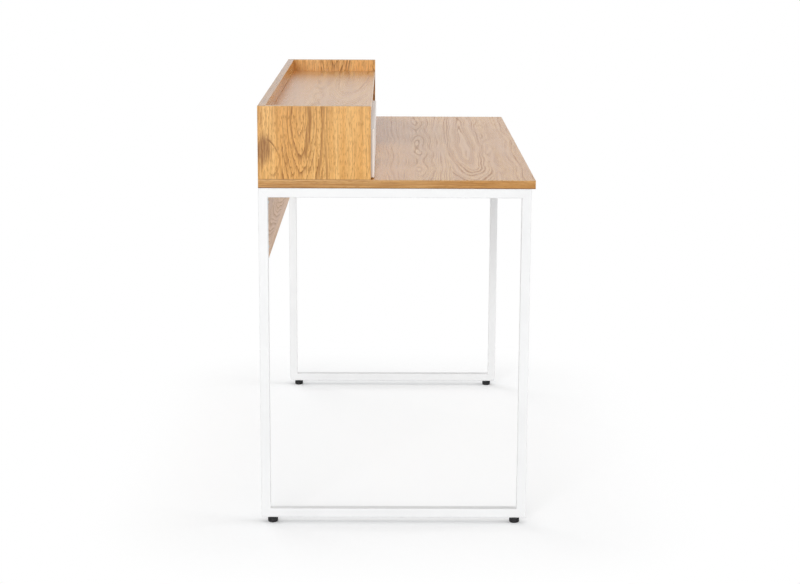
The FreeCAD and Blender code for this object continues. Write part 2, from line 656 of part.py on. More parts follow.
def front_face(solid):
    """The face of a slab that lies on y = 0."""
    return [face for face in solid.Faces if abs(face.CenterOfMass.y) < 0.001][0]


def runner(side):
    """One ball-bearing runner: a rail on the carcass, one on the drawer, and the cage of balls between."""
    up = Vector(0, 0, 1)
    half = RUNNER_HEIGHT / 2
    inner_half = INNER_HEIGHT / 2
    sheet = RUNNER_SHEET
    track = half - sheet
    stop_low = BALL_U - STOP_WIDTH / 2
    stop_high = BALL_U + STOP_WIDTH / 2

    outer = runner_bar(side, channel(0, OUTER_REACH, half, sheet, RUNNER_BEND), 0, RUNNER_LENGTH)
    inner_section = channel(RUNNER_SPACE, RUNNER_SPACE - INNER_REACH, inner_half, sheet, RUNNER_BEND)
    inner = runner_bar(side, inner_section, 0, RUNNER_LENGTH)
    for way in (-1, 1):
        lip = sorted((way * track, way * (half - OUTER_LIP)))
        lip_face = front_face(span(OUTER_REACH - sheet, OUTER_REACH, 0, 1, *lip))
        outer = outer.fuse(runner_bar(side, lip_face, 0, RUNNER_LENGTH))
        front_stop = sorted((way * track, way * (BALL_V - STOP_OVERLAP)))
        stop_face = front_face(span(stop_low, stop_high, 0, 1, *front_stop))
        outer = outer.fuse(runner_bar(side, stop_face, 0, sheet))
        rear_stop = sorted((way * inner_half, way * (BALL_V + STOP_OVERLAP)))
        stop_face = front_face(span(stop_low, stop_high, 0, 1, *rear_stop))
        inner = inner.fuse(runner_bar(side, stop_face, RUNNER_LENGTH - sheet, RUNNER_LENGTH))
    for place in outer_screw_places():
        outer = outer.cut(runner_screw_hole(place))
    for place in inner_screw_places():
        inner = inner.cut(runner_screw_hole(place))
    nodes[side + "_runner_outer"] = outer.removeSplitter()
    nodes[side + "_runner_inner"] = inner.removeSplitter()

    open_start = sheet + CAGE_PLAY
    cage_start = open_start + DRAWER_TRAVEL / 2
    open_end = RUNNER_LENGTH - DRAWER_TRAVEL - sheet - CAGE_PLAY
    cage_length = open_end - open_start
    cage_half = BALL_V + CAGE_SHEET / 2
    cage_section = channel(CAGE_U, CAGE_U + CAGE_REACH, cage_half, CAGE_SHEET, 2 * CAGE_SHEET)
    cage = runner_bar(side, cage_section, cage_start, cage_start + cage_length)
    first = cage_start + (cage_length - BALL_PITCH * (BALLS_PER_ROW - 1)) / 2
    balls = []
    for index in range(BALLS_PER_ROW):
        y = first + index * BALL_PITCH
        pocket = rod(at_runner(side, BALL_U, y, -half), up, BALL_RADIUS + DRILL_PLAY, RUNNER_HEIGHT)
        cage = cage.cut(pocket)
        for way in (-1, 1):
            balls.append(Part.makeSphere(BALL_RADIUS, at_runner(side, BALL_U, y, way * BALL_V)))
    nodes[side + "_runner_cage"] = cage
    nodes[side + "_runner_balls"] = group(balls)


def outer_screw_places():
    """Seat and direction of each screw that holds a carcass rail."""
    return [(at_runner(side, RUNNER_SHEET, share * RUNNER_LENGTH, 0), Vector(-sign, 0, 0))
            for side, (carcass, sign) in RUNNER_BAYS.items() for share in OUTER_SCREW_SHARES]


def inner_screw_places():
    """Seat and direction of each screw that holds a drawer rail."""
    seat = RUNNER_SPACE - RUNNER_SHEET
    return [(at_runner(side, seat, share * RUNNER_LENGTH, 0), Vector(sign, 0, 0))
            for side, (carcass, sign) in RUNNER_BAYS.items() for share in INNER_SCREW_SHARES]


def runner_screw_hole(place):
    start, along = place
    return rod(start, along, RUNNER_SCREW_RADIUS + DRILL_PLAY, RUNNER_SCREW_LENGTH + DRILL_PLAY)


def runner_screws():
    """The screws of both runners, in the carcass and in the drawer."""
    fixed = pan_screw(RUNNER_SCREW_HEAD, OUTER_HEAD_HEIGHT, RUNNER_SCREW_RADIUS, RUNNER_SCREW_LENGTH)
    moving = pan_screw(RUNNER_SCREW_HEAD, INNER_HEAD_HEIGHT, RUNNER_SCREW_RADIUS, RUNNER_SCREW_LENGTH)
    nodes["runner_fixed_screws"] = group([placed(fixed, *place) for place in outer_screw_places()])
    nodes["runner_drawer_screws"] = group([placed(moving, *place) for place in inner_screw_places()])


for side_name, side_sign in SIDES.items():
    loop_frame(side_name, side_sign)
feet()
desk_top()
modesty_panel()
hutch()
drawer()
for side_name in SIDES:
    runner(side_name)
runner_screws()

os.makedirs("parts", exist_ok=True)
for node_name, shape in nodes.items():
    assert shape.isValid(), node_name
    shape.exportStep("parts/%s.step" % node_name)
    print(node_name, len(shape.Solids), round(shape.Volume))
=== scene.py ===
import math

import bpy
import numpy as np
from mathutils import Matrix, Vector


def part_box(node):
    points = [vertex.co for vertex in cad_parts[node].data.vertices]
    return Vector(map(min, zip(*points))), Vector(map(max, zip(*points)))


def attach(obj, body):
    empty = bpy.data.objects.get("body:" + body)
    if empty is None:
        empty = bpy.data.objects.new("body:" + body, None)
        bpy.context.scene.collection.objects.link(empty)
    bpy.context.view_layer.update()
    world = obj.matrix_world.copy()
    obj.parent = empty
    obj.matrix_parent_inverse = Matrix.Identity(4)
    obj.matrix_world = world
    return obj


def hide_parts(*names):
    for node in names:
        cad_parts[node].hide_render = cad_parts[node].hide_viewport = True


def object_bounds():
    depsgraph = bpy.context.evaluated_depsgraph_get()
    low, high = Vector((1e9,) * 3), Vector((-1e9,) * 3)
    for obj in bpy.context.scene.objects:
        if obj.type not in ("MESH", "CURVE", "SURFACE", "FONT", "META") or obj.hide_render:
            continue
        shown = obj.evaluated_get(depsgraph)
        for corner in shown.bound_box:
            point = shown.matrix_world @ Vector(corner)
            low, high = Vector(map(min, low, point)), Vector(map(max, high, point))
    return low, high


# Finishes, small fastener forms, light and camera for the desk with its storage hutch.
# Lengths are in metres, in the frame's own axes: X along the desk, -Y to the sitter, Z up.

MM = 0.001
X, Y, Z = range(3)
SENSOR_WIDTH = 36.0
FOOT_PLACES = ("front_left", "rear_left", "front_right", "rear_right")

# Camera, at the left end of the desk and a little above the hutch
CAMERA_PLACE = (-4.384, 0.018, 1.303)
CAMERA_YAW = -0.385
CAMERA_PITCH = 11.809
CAMERA_ROLL = 0.275
CAMERA_LENS = 82.41

# Studio light, with each lamp's place, width, power and whether the desk mirrors it
AMBIENT = 0.33
LAMP_AIM = (0.0, 0.0, 0.5)
LAMPS = {"key_light": ((-15.6, 3.9, 3.75), 7.5, 1530.0, True),
         "front_light": ((-0.8, -7.4, 3.3), 5.0, 255.0, True),
         "back_light": ((6.5, 5.0, 2.4), 5.0, 310.0, False)}
FLOOR_PAPER = (0.805, 0.811, 0.817, 1.0)
FLOOR_GLOW = 0.378
FLOOR_REACH = 40.0
FLOOR_FADE = (0.0, 0.40)
PAINTED_CONTACT_SHADE_REACH = 0.07

# Board edges: how far in from a side each mask starts and ends
EDGE_BAND = 0.6 * MM
ARRIS_REACH = (1.8 * MM, 0.4 * MM)
# LOWER_REACH sets the width of the dark line of painted shade along the lower arrises
LOWER_REACH = (2.6 * MM, 1.2 * MM)

# Oak print on the boards
STRIP_WIDTH = 0.052
RING_STEP = 0.0090
ARCH_POINT = 1.5
OAK_LIGHT = (0.91, 0.545, 0.197, 1.0)
OAK_GOLD = (0.76, 0.388, 0.106, 1.0)
OAK_TAN = (0.80, 0.402, 0.110, 1.0)
OAK_LINE = (0.27, 0.096, 0.004, 1.0)
OAK_PORE = (0.20, 0.080, 0.012, 1.0)
KNOT_BROWN = (0.22, 0.078, 0.016, 1.0)
OAK_BAND = (0.50, 0.50, 0.49, 1.0)
# Paler line along the arrises of the boards: a painted highlight
OAK_ARRIS_HIGHLIGHT = (0.86, 0.60, 0.33, 1.0)
BACKING_FOIL = (0.80, 0.80, 0.79, 1.0)
LAMINATE_IOR = 1.38
FAR_AWAY = (50.0, 50.0, 50.0)
KNOT_LOOP = (-0.95, -0.60, 0.0)
ARRIS_HIGHLIGHT_SHARE = 0.3
PORE_SHARE = 0.5
STRIP_TAN = 0.8
HEART_STRENGTH = 1.12
PORE_MATT = 0.10
LINE_MATT = 0.09
STREAK_MATT = 0.13
OAK_RELIEF = 0.08 * MM

# Noise in the oak print, in counts per metre across, along and through the grain
WANDER_COUNTS = (11.0, 4.0, 11.0)
JAG_COUNTS = (330.0, 15.0, 330.0)
BREAK_COUNTS = (300.0, 22.0, 300.0)
FADE_COUNTS = (26.0, 9.0, 26.0)
STREAK_COUNTS = (60.0, 2.0, 60.0)
FIBRE_COUNTS = (430.0, 12.0, 430.0)
FLECK_COUNTS = (600.0, 75.0, 600.0)
PORE_COUNTS = (1300.0, 48.0, 1300.0)

# Values of the print on a face and on an edge band, and what single boards have of their own; the three
# tone sets are copies of one print with painted light and shade
FACE_AND_EDGE = {"Lines": (1.0, 0.7), "Flecks": (0.6, 0.5), "Fibre": (0.4, 0.9),
                 "Sway": (0.12, 0.03), "Wander": (0.022, 0.006)}
# Darker, rosier copy of the oak for the boards that face up: painted for the dimmer light on them
ROSY_OAK_FOR_TOP_LIGHT = {"Light": (0.90, 0.520, 0.194, 1.0), "Gold": (0.755, 0.369, 0.105, 1.0),
            "Tan": (0.795, 0.384, 0.110, 1.0)}
# Paler copy of the oak for the far side's inner face: painted light, to cancel the warm light bounced
# onto it
PALE_OAK_AGAINST_BOUNCE = {"Light": (0.95, 0.595, 0.230, 1.0), "Gold": (0.80, 0.430, 0.132, 1.0),
            "Tan": (0.84, 0.445, 0.137, 1.0)}
# Darker copy of the oak for the hutch back and the modesty panel: painted shade
SHADED_OAK = {"Light": (0.76, 0.430, 0.165, 1.0), "Gold": (0.64, 0.300, 0.090, 1.0),
              "Tan": (0.67, 0.315, 0.095, 1.0)}
FLAT_BOARD = {"Ring Step": 0.0072, "Strip Width": 0.085, "Lines": 1.5, "Quiet": 0.9, "Flecks": 0.08,
              "Fibre": 0.3, "Jag": 0.003, "Wander": 0.034, "Line": (0.48, 0.195, 0.032, 1.0)}
FAINT_BOARD = {**FLAT_BOARD, "Lines": 0.8, "Quiet": 0.5}

# Other finishes: colours, roughness from the low to the high end of a noise, and depth of relief
NOISE_SPAN = (0.3, 0.7)
COLOUR_SPAN = (0.35, 0.65)
COAT_DIM = (0.862, 0.865, 0.866, 1.0)
COAT_BRIGHT = (0.888, 0.891, 0.892, 1.0)
COAT_SEAM = (0.70, 0.70, 0.69, 1.0)
SEAM_REACH = (0.9 * MM, 0.2 * MM)
SEAM_SHARE = 0.15
COAT_ROUGHNESS = (0.34, 0.44)
COAT_RELIEF = 0.03 * MM
FRONT_DIM = (0.90, 0.90, 0.895, 1.0)
FRONT_BRIGHT = (0.93, 0.93, 0.925, 1.0)
# Warmer, lighter edge band of the front: partly its own tone, partly a painted warm reflection
FRONT_BAND_AND_WARM_BOUNCE = (0.94, 0.905, 0.865, 1.0)
FRONT_BAND_AND_WARM_BOUNCE_SHARE = 0.9
FRONT_ROUGHNESS = (0.29, 0.37)
FRONT_RELIEF = 0.02 * MM
FOIL_ROUGHNESS = (0.46, 0.58)
FOIL_RELIEF = 0.03 * MM
PLASTIC_BLACK = (0.012, 0.012, 0.013, 1.0)
PLASTIC_SCUFF = (0.035, 0.035, 0.036, 1.0)
PLASTIC_GLOSS = 0.2
PLASTIC_ROUGHNESS = (0.38, 0.55)
PLASTIC_RELIEF = 0.06 * MM
BEECH_DIM = (0.62, 0.40, 0.22, 1.0)
BEECH_PALE = (0.70, 0.49, 0.30, 1.0)
BEECH_FLECK = (0.36, 0.19, 0.09, 1.0)
BEECH_ROUGHNESS = (0.55, 0.68)
BEECH_RELIEF = 0.05 * MM
STEEL_RELIEF = 0.02 * MM

# Small forms
SHARP_ANGLE = math.radians(38.0)
SCREW_SIDES = 28
HEAD_ROWS = 14
POINT_ROWS = 6
POINT_REACH = 2.4
SCREW_THREAD = 0.24
FOOT_SIDES = 32
FOOT_PITCH = 1.0 * MM
FOOT_THREAD = 0.61 * MM
FOOT_CHAMFER = 1.0 * MM
BEAD_SIZE = 2.2 * MM
BEAD_INSET = 1.0 * MM
BEAD_SUNK = 0.1 * MM
BEAD_RIPPLE = 1.7 * MM
RIPPLE_SHARE = 0.14

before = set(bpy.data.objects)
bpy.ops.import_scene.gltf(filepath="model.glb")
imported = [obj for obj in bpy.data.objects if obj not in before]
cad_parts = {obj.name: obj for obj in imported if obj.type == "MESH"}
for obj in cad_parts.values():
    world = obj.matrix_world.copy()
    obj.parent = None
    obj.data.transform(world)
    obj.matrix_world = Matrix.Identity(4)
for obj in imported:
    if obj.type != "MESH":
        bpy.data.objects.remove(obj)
cad_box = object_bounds()
scene = bpy.context.scene


class Wiring:
    """Short calls that add nodes to one shader tree and link them."""

    def __init__(self, tree):
        self.tree = tree

    def put(self, socket, value):
        """Links a socket to another one, or sets its own value."""
        if isinstance(value, bpy.types.NodeSocket):
            self.tree.links.new(value, socket)
        else:
            socket.default_value = value

    def add(self, kind, inputs=None, **settings):
        """A node of that kind, with its settings and then its input sockets by name or number."""
        node = self.tree.nodes.new(kind)
        for name, value in settings.items():
            setattr(node, name, value)
        for name, value in (inputs or {}).items():
            self.put(node.inputs[name], value)
        return node

    def calc(self, operation, *values):
        """A number from one step of maths."""
        node = self.add("ShaderNodeMath", dict(enumerate(values)), operation=operation)
        return node.outputs[0]

    def shift(self, operation, *values):
        """Vector maths: a vector, or a number for LENGTH."""
        node = self.add("ShaderNodeVectorMath", dict(enumerate(values)), operation=operation)
        return node.outputs[1 if operation == "LENGTH" else 0]

    def ease(self, value, start, end, low=0.0, high=1.0):
        """A smooth step from low to high as the value goes from start to end."""
        node = self.add("ShaderNodeMapRange", {0: value, 1: start, 2: end, 3: low, 4: high},
                        interpolation_type="SMOOTHSTEP")
        return node.outputs[0]

    def tint(self, share, first, second):
        """A colour between two colours."""
        node = self.add("ShaderNodeMix", {0: share, 6: first, 7: second}, data_type="RGBA")
        return node.outputs[2]

    def shade(self, share, colour, tone):
        """A colour times a tone, by a share of the full effect."""
        node = self.add("ShaderNodeMix", {0: share, 6: colour, 7: tone}, data_type="RGBA",
                        blend_type="MULTIPLY")
        return node.outputs[2]

    def pick(self, share, first, second):
        """A vector between two vectors."""
        node = self.add("ShaderNodeMix", {0: share, 4: first, 5: second}, data_type="VECTOR")
        return node.outputs[1]

    def noise(self, place, stretch, detail=2.0, roughness=0.5):
        """Noise on a place stretched by three counts per metre."""
        stretched = self.shift("MULTIPLY", place, stretch)
        node = self.add("ShaderNodeTexNoise",
                        {"Vector": stretched, "Scale": 1.0, "Detail": detail, "Roughness": roughness})
        return node.outputs[0]

    def parts(self, vector):
        """The three numbers of a vector."""
        return self.add("ShaderNodeSeparateXYZ", {0: vector}).outputs

    def vector(self, x, y, z):
        """A vector of three numbers."""
        return self.add("ShaderNodeCombineXYZ", {0: x, 1: y, 2: z}).outputs[0]

    def blend(self, share, first, second):
        """A number between two numbers."""
        node = self.add("ShaderNodeMix", {0: share, 2: first, 3: second}, data_type="FLOAT")
        return node.outputs[0]


def new_group(name, inputs, outputs):
    """An empty shader group with named sockets; gives its tree, wiring, inputs and output node."""
    tree = bpy.data.node_groups.new(name, "ShaderNodeTree")
    for label, kind, value in inputs:
        socket = tree.interface.new_socket(label, in_out="INPUT", socket_type="NodeSocket" + kind)
        socket.default_value = value
    for label, kind in outputs:
        tree.interface.new_socket(label, in_out="OUTPUT", socket_type="NodeSocket" + kind)
    wires = Wiring(tree)
    given = wires.add("NodeGroupInput").outputs
    result = wires.add("NodeGroupOutput").inputs
    return tree, wires, given, result


def use_group(wires, tree, inputs):
    """Places a group in a material with that material's own values, and gives its outputs."""
    node = wires.add("ShaderNodeGroup", node_tree=tree)
    for name, value in inputs.items():
        wires.put(node.inputs[name], value)
    return node.outputs


# Effects that several finishes share

def board_edges_group():
    """Masks over a board.

    X, Y and Z are 1 on the edge band of its two sides across that axis. Arris is 1 along its rounded
    arrises, and Lower only along the level ones at its underside. Under is 1 on the underside itself.
    """
    tree, wires, given, result = new_group(
        "board_edges",
        [("Place", "Vector", (0, 0, 0)), ("Middle", "Vector", (0, 0, 0)), ("Half", "Vector", (1, 1, 1))],
        [("X", "Float"), ("Y", "Float"), ("Z", "Float"), ("Arris", "Float"), ("Lower", "Float"),
         ("Under", "Float")])
    offset = wires.shift("SUBTRACT", given["Place"], given["Middle"])
    inside = wires.parts(wires.shift("SUBTRACT", given["Half"], wires.shift("ABSOLUTE", offset)))
    near = []
    for axis, name in enumerate("XYZ"):
        wires.put(result[name], wires.calc("LESS_THAN", inside[axis], EDGE_BAND))
        near.append(wires.ease(inside[axis], *ARRIS_REACH))
    upright = wires.calc("MULTIPLY", near[X], near[Y])
    near_rim = wires.calc("MAXIMUM", near[X], near[Y])
    level = wires.calc("MULTIPLY", near[Z], near_rim)
    wires.put(result["Arris"], wires.calc("MAXIMUM", upright, level))
    below = wires.calc("LESS_THAN", wires.parts(offset)[Z], 0.0)
    lower = wires.calc("MULTIPLY", wires.ease(inside[Z], *LOWER_REACH), below)
    wires.put(result["Lower"], wires.calc("MULTIPLY", lower, near_rim))
    flat = wires.calc("MULTIPLY", wires.calc("LESS_THAN", inside[Z], EDGE_BAND), below)
    from_rim = wires.calc("MINIMUM", inside[X], inside[Y])
    clear = wires.calc("GREATER_THAN", from_rim, EDGE_BAND)
    wires.put(result["Under"], wires.calc("MULTIPLY", flat, clear))
    return tree


def oak_grain_group():
    """Flat-sawn oak in strips.

    Grain is (across, along, through) the wood. A growth ring is where a radius is a whole number of
    steps: sideways and height, each to the power ARCH_POINT, are added, and the root is taken. In the
    heart strip the height falls evenly along the grain, which draws nested arches: past the heart
    they run out straight, or close again into eyes as Close goes to 1. The other strips take their
    heart, step and strength by chance, and their height sways. A knot is a streaked brown patch
    with one loop beside it. Matt is the least roughness, to which pores, lines and streaks add.
    """
    tree, wires, given, result = new_group(
        "oak_grain",
        [("Grain", "Vector", (0, 0, 0)), ("Strip Width", "Float", STRIP_WIDTH),
         ("Ring Step", "Float", RING_STEP), ("Lines", "Float", 1.0), ("Flecks", "Float", 0.6),
         ("Fibre", "Float", 0.4), ("Quiet", "Float", 0.25), ("Matt", "Float", 0.165),
         ("Jag", "Float", 0.005), ("Sway", "Float", 0.12), ("Wander", "Float", 0.022),
         ("Heart", "Vector", FAR_AWAY), ("Heart Half", "Float", 0.043), ("Slope", "Float", 0.25),
         ("Close", "Float", 0.0),
         ("Knot", "Vector", FAR_AWAY), ("Knot Half", "Vector", (0.016, 0.030, 1.0)),
         ("Light", "Color", OAK_LIGHT), ("Gold", "Color", OAK_GOLD), ("Tan", "Color", OAK_TAN),
         ("Line", "Color", OAK_LINE)],
        [("Color", "Color"), ("Roughness", "Float"), ("Height", "Float")])
    grain = given["Grain"]
    across, along, _ = wires.parts(grain)
    wander = wires.calc("SUBTRACT", wires.noise(grain, WANDER_COUNTS, 1.0), 0.5)
    jag = wires.calc("SUBTRACT", wires.noise(grain, JAG_COUNTS, 2.0, 0.6), 0.5)

    strips = wires.calc("DIVIDE", 1.0, given["Strip Width"])
    strip = wires.add("ShaderNodeTexVoronoi", {"Scale": strips}, voronoi_dimensions="1D")
    wires.put(strip.inputs["W"], across)
    chance = wires.parts(strip.outputs["Color"])
    offset = wires.calc("MULTIPLY", wires.calc("SUBTRACT", chance[0], 0.5), 0.11)
    beside = wires.calc("SUBTRACT", wires.calc("SUBTRACT", across, strip.outputs["W"]), offset)
    run = wires.calc("MULTIPLY_ADD", chance[1], 7.0, along)
    sway = wires.add("ShaderNodeTexNoise", {"W": run, "Scale": 2.2, "Detail": 0.0},
                     noise_dimensions="1D")
    height = wires.calc("MULTIPLY", wires.calc("SUBTRACT", sway.outputs[0], 0.5), given["Sway"])

    heart = wires.parts(wires.shift("SUBTRACT", grain, given["Heart"]))
    in_heart = wires.calc("LESS_THAN", wires.calc("ABSOLUTE", heart[0]), given["Heart Half"])
    fall = wires.calc("MULTIPLY", heart[1], wires.calc("MULTIPLY", given["Slope"], -1.0))
    past = wires.calc("LESS_THAN", fall, 0.0)
    fall = wires.blend(past, fall, wires.calc("MULTIPLY", fall, given["Close"]))
    sideways = wires.blend(in_heart, beside, heart[0])
    height = wires.blend(in_heart, height, fall)
    step = wires.blend(in_heart, wires.ease(chance[0], 0.0, 1.0, 0.42, 1.0), 1.0)
    strength = wires.ease(chance[2], 0.15, 0.9, given["Quiet"], 0.9)
    strength = wires.blend(in_heart, strength, HEART_STRENGTH)

    def pointed(*sides):
        """The root of the sum of both sides, each to the power ARCH_POINT."""
        powers = [wires.calc("POWER", wires.calc("ABSOLUTE", side), ARCH_POINT) for side in sides]
        return wires.calc("POWER", wires.calc("ADD", *powers), 1.0 / ARCH_POINT)

    sideways = wires.calc("MULTIPLY_ADD", wander, given["Wander"], sideways)
    radius = wires.calc("MULTIPLY_ADD", jag, given["Jag"], pointed(sideways, height))
    rings = wires.calc("DIVIDE", radius, wires.calc("MULTIPLY", given["Ring Step"], step))
    year = wires.calc("MULTIPLY_ADD", chance[2], 40.0, rings)
    uneven = wires.add("ShaderNodeTexNoise", {"W": year, "Scale": 0.7, "Detail": 1.0},
                       noise_dimensions="1D")
    rings = wires.calc("MULTIPLY_ADD", wires.calc("SUBTRACT", uneven.outputs[0], 0.5), 1.6, rings)

    from_knot = wires.shift("DIVIDE", wires.shift("SUBTRACT", grain, given["Knot"]), given["Knot Half"])
    core = wires.shift("LENGTH", wires.shift("MULTIPLY", from_knot, (1, 1, 0)))
    core = wires.calc("MULTIPLY_ADD", jag, 1.8, wires.calc("MULTIPLY_ADD", wander, 1.5, core))
    leaf_x, leaf_y, _ = wires.parts(wires.shift("SUBTRACT", from_knot, KNOT_LOOP))
    leaf_x = wires.calc("MULTIPLY_ADD", leaf_y, -0.3, leaf_x)
    loop = wires.calc("MULTIPLY_ADD", wander, 2.2, pointed(leaf_x, leaf_y))
    swirl = wires.ease(loop, 1.30, 1.22)
    rings = wires.blend(swirl, rings, loop)
    one_side = wires.ease(leaf_x, 0.75, 0.0, 0.0, 1.2)
    leaf = wires.calc("MULTIPLY", wires.ease(loop, 0.85, 1.0), one_side)
    strength = wires.blend(swirl, strength, leaf)

    tooth = wires.calc("FRACT", rings)
    line = wires.calc("MULTIPLY", wires.ease(tooth, 0.0, 0.08),
                      wires.calc("POWER", wires.calc("SUBTRACT", 1.0, tooth), 3.0))
    broken = wires.ease(wires.noise(grain, BREAK_COUNTS, 2.0), 0.32, 0.56, 0.55, 1.2)
    faded = wires.ease(wires.noise(grain, FADE_COUNTS, 1.0), 0.36, 0.58, 0.55, 1.1)
    faded = wires.blend(in_heart, faded, 1.0)
    for share in (broken, faded, strength, given["Lines"]):
        line = wires.calc("MULTIPLY", line, share)

    streak = wires.noise(grain, STREAK_COUNTS, 3.0)
    fibre = wires.noise(grain, FIBRE_COUNTS, 3.0)
    fleck = wires.ease(wires.noise(grain, FLECK_COUNTS, 2.0), 0.51, 0.63)
    for share in (wires.calc("MULTIPLY_ADD", strength, 0.3, 0.7), given["Flecks"]):
        fleck = wires.calc("MULTIPLY", fleck, share)
    pore = wires.ease(wires.noise(grain, PORE_COUNTS, 1.0), 0.58, 0.70)
    pore = wires.calc("MULTIPLY", pore, wires.calc("MULTIPLY_ADD", line, 0.6, 0.4))

    colour = wires.tint(wires.ease(streak, 0.34, 0.66), given["Gold"], given["Light"])
    colour = wires.tint(wires.calc("MULTIPLY", chance[1], STRIP_TAN), colour, given["Tan"])
    fibres = wires.calc("MULTIPLY", wires.ease(fibre, 0.46, 0.66, 0.0, 0.8), given["Fibre"])
    colour = wires.tint(fibres, colour, given["Line"])
    colour = wires.tint(wires.calc("MAXIMUM", line, fleck), colour, given["Line"])
    colour = wires.tint(wires.calc("MULTIPLY", pore, PORE_SHARE), colour, OAK_PORE)
    streaked = wires.ease(fibre, 0.35, 0.62, 0.6, 1.0)
    stain = wires.calc("MULTIPLY", wires.ease(core, 1.35, 0.35), streaked)
    colour = wires.tint(stain, colour, KNOT_BROWN)
    wires.put(result["Color"], colour)
    matt = given["Matt"]
    for mask, share in ((pore, PORE_MATT), (line, LINE_MATT), (streak, STREAK_MATT)):
        matt = wires.calc("MULTIPLY_ADD", mask, share, matt)
    wires.put(result["Roughness"], matt)
    sunk = wires.calc("MULTIPLY_ADD", pore, 0.7, wires.calc("MULTIPLY", line, 0.3))
    wires.put(result["Height"], wires.calc("SUBTRACT", wires.calc("MULTIPLY", fibre, 0.3), sunk))
    return tree


def skin_group():
    """A coated or moulded skin: a fine peel for the bump and a broad soft mottle for the colour."""
    tree, wires, given, result = new_group(
        "skin", [("Place", "Vector", (0, 0, 0)), ("Peel", "Float", 700.0), ("Broad", "Float", 9.0)],
        [("Height", "Float"), ("Mottle", "Float")])
    for name, count, detail in (("Height", "Peel", 2.0), ("Mottle", "Broad", 3.0)):
        node = wires.add("ShaderNodeTexNoise",
                         {"Vector": given["Place"], "Scale": given[count], "Detail": detail})
        wires.put(result[name], node.outputs[0])
    return tree


def plating_group():
    """Zinc plate: crystal patches from cells, and fine rolling lines along one axis."""
    tree, wires, given, result = new_group(
        "plating",
        [("Place", "Vector", (0, 0, 0)), ("Cells", "Float", 220.0),
         ("Rolling", "Vector", (900, 12, 900))],
        [("Patch", "Float"), ("Lines", "Float")])
    cells = wires.add("ShaderNodeTexVoronoi", {"Vector": given["Place"], "Scale": given["Cells"]})
    wires.put(result["Patch"], wires.parts(cells.outputs["Color"])[0])
    wires.put(result["Lines"], wires.noise(given["Place"], given["Rolling"], 2.0))
    return tree


BOARD_EDGES = board_edges_group()
OAK_GRAIN = oak_grain_group()
SKIN = skin_group()
PLATING = plating_group()


# Finishes

def new_material(name):
    """A material with its Principled shader; gives the material, its wiring, shader and place."""
    material = bpy.data.materials.new(name)
    material.use_nodes = True
    material.node_tree.nodes.clear()
    wires = Wiring(material.node_tree)
    shader = wires.add("ShaderNodeBsdfPrincipled")
    wires.add("ShaderNodeOutputMaterial", {"Surface": shader.outputs[0]})
    place = wires.add("ShaderNodeTexCoord").outputs["Object"]
    return material, wires, shader, place


def bump(wires, shader, height, depth, strength):
    """Relief on a shader from a height, to a depth in metres."""
    node = wires.add("ShaderNodeBump", {"Strength": strength, "Distance": depth, "Height": height})
    wires.put(shader.inputs["Normal"], node.outputs[0])


def oak_board(node, grain_axis, seed, heart=None, knot=None, edge_share=0.25, lower_share=0.3,
              backing=None, **values):
    """Oak print on one board: grain along grain_axis on its faces and along each edge band.

    On a side that faces axis n, the grain runs along grain_axis, or along the side's longer
    direction where grain_axis is n itself. The seed moves the board through the wood. Heart and
    knot are places (across, along) on the face. Edge_share darkens the edge bands, and
    lower_share paints shade as a dark line along the arrises at the underside. Backing is
    the colour of a plain foil on the underside.
    """
    material, wires, shader, place = new_material("oak_" + node)
    low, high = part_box(node)
    size = high - low
    edges = use_group(wires, BOARD_EDGES,
                      {"Place": place, "Middle": (low + high) / 2, "Half": size / 2})
    thin = min(range(3), key=lambda axis: size[axis])
    sides = [axis for axis in range(3) if axis != thin]
    moved = wires.parts(wires.shift("ADD", place, seed))

    def directions(normal):
        """The axes across, along and through the grain on a side that faces an axis."""
        others = [axis for axis in range(3) if axis != normal]
        along = grain_axis if grain_axis in others else max(others, key=lambda axis: size[axis])
        return [axis for axis in others if axis != along][0], along, normal

    def grain_place(spot):
        """A place on the face, moved by the seed."""
        across, along, _ = directions(thin)
        return (spot[0] + seed[across], spot[1] + seed[along], 0.0)

    grain = wires.vector(*[moved[axis] for axis in directions(thin)])
    for axis in sides:
        edge_grain = wires.vector(*[moved[other] for other in directions(axis)])
        grain = wires.pick(edges[axis], grain, edge_grain)
    for name, spot in (("Heart", heart), ("Knot", knot)):
        if spot:
            values[name] = grain_place(spot)
    band = wires.calc("MAXIMUM", edges[sides[0]], edges[sides[1]])
    for name, (on_face, on_edge) in FACE_AND_EDGE.items():
        values[name] = wires.ease(band, 0.0, 1.0, values.get(name, on_face), on_edge)
    oak = use_group(wires, OAK_GRAIN, {"Grain": grain, **values})
    colour = wires.shade(wires.calc("MULTIPLY", band, edge_share), oak["Color"], OAK_BAND)
    # A paler line along every arris: a painted highlight.
    colour = wires.tint(wires.calc("MULTIPLY", edges["Arris"], ARRIS_HIGHLIGHT_SHARE), colour, OAK_ARRIS_HIGHLIGHT)
    # A dark line along the lower arrises, in the pore colour: painted shade under the board's edge.
    colour = wires.tint(wires.calc("MULTIPLY", edges["Lower"], lower_share), colour, OAK_PORE)
    if backing:
        colour = wires.tint(edges["Under"], colour, backing)
    wires.put(shader.inputs["Base Color"], colour)
    wires.put(shader.inputs["Roughness"], oak["Roughness"])
    shader.inputs["IOR"].default_value = LAMINATE_IOR
    bump(wires, shader, oak["Height"], OAK_RELIEF, 0.6)
    return material


